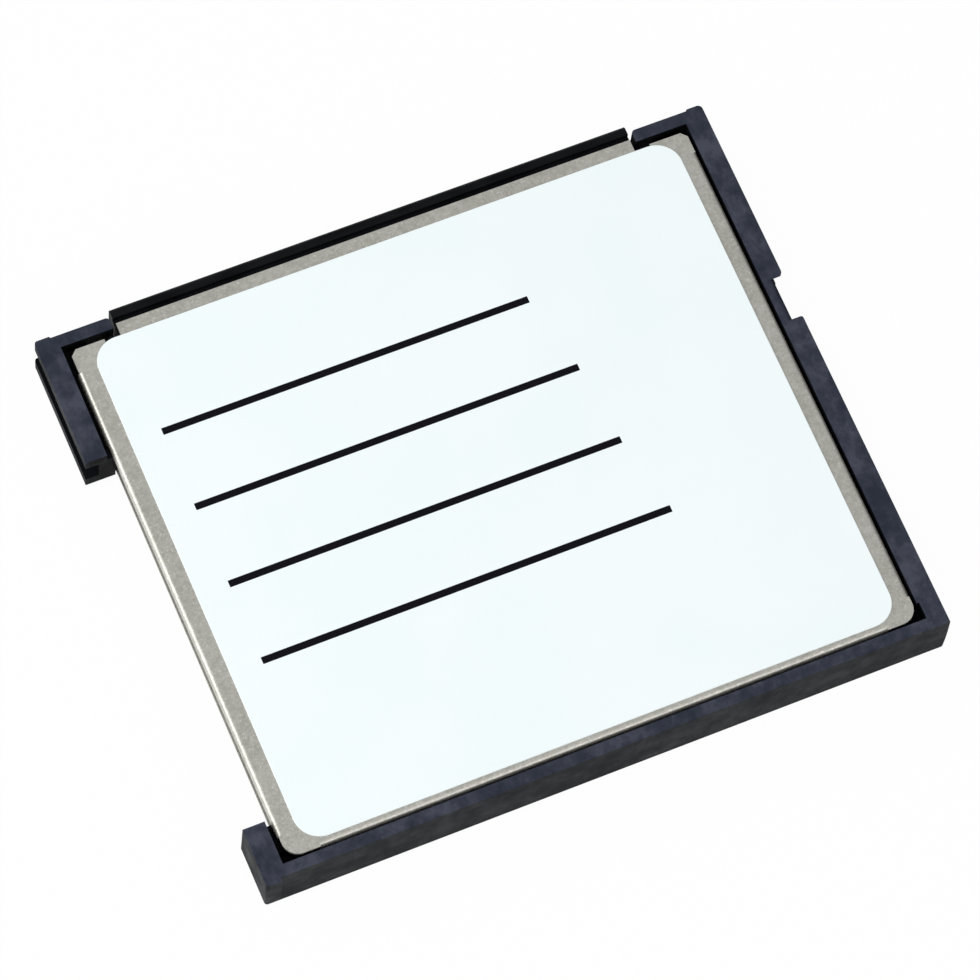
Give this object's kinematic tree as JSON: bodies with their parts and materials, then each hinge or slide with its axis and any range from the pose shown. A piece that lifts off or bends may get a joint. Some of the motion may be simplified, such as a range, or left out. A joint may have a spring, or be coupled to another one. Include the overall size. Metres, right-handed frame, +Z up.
{
  "type": "memory card adapter",
  "caption": "Flat 42.8 mm adapter card: a plastic frame between two pressed metal covers, with a card mouth in one side and a two-row pin socket along the front edge.",
  "frame": {"origin": "middle of the underside: half way across the side rails and half way from the back rail to the socket's front, at the rails' lower face", "axes": "X across the card, with the card mouth opening to -X; Y from the back rail to the 50-way socket at +Y; Z up out of the label side"},
  "size_m": [0.0428, 0.0364, 0.0033],
  "materials": {
    "frame_plastic": "slate-black moulded plastic, finely mottled",
    "cover_steel": "warm grey stainless sheet with a fine speckled grain",
    "label_film": "white printed film",
    "socket_plastic": "black glass-filled moulding",
    "gold_contact": "gold-flashed spring copper alloy",
    "board_laminate": "green lacquered glass-epoxy laminate",
    "chip_epoxy": "black moulded epoxy",
    "tinned_lead": "bright tin plating",
    "crystal_can": "nickel-plated can",
    "capacitor_ceramic": "tan ceramic",
    "resistor_ceramic": "black glazed film",
    "amber_film": "amber insulating film"
  },
  "bodies": {
    "root": {"frame": "frame_plastic", "top_cover": "cover_steel", "bottom_cover": "cover_steel", "label": "label_film", "socket_housing": "socket_plastic", "upper_contacts": "gold_contact", "lower_contacts": "gold_contact", "circuit_board": "board_laminate", "controller_chip": "chip_epoxy", "voltage_regulator": "chip_epoxy", "regulator_legs": "tinned_lead", "crystal": "crystal_can", "capacitors": "capacitor_ceramic", "resistors": "resistor_ceramic", "contact_block": "socket_plastic", "insulating_film": "amber_film", "detect_blade": "gold_contact", "protect_blade": "gold_contact", "card_contact_1": "gold_contact", "card_contact_2": "gold_contact", "card_contact_3": "gold_contact", "card_contact_4": "gold_contact", "card_contact_5": "gold_contact", "card_contact_6": "gold_contact", "card_contact_7": "gold_contact", "card_contact_8": "gold_contact", "card_contact_9": "gold_contact"}
  },
  "joints": []
}
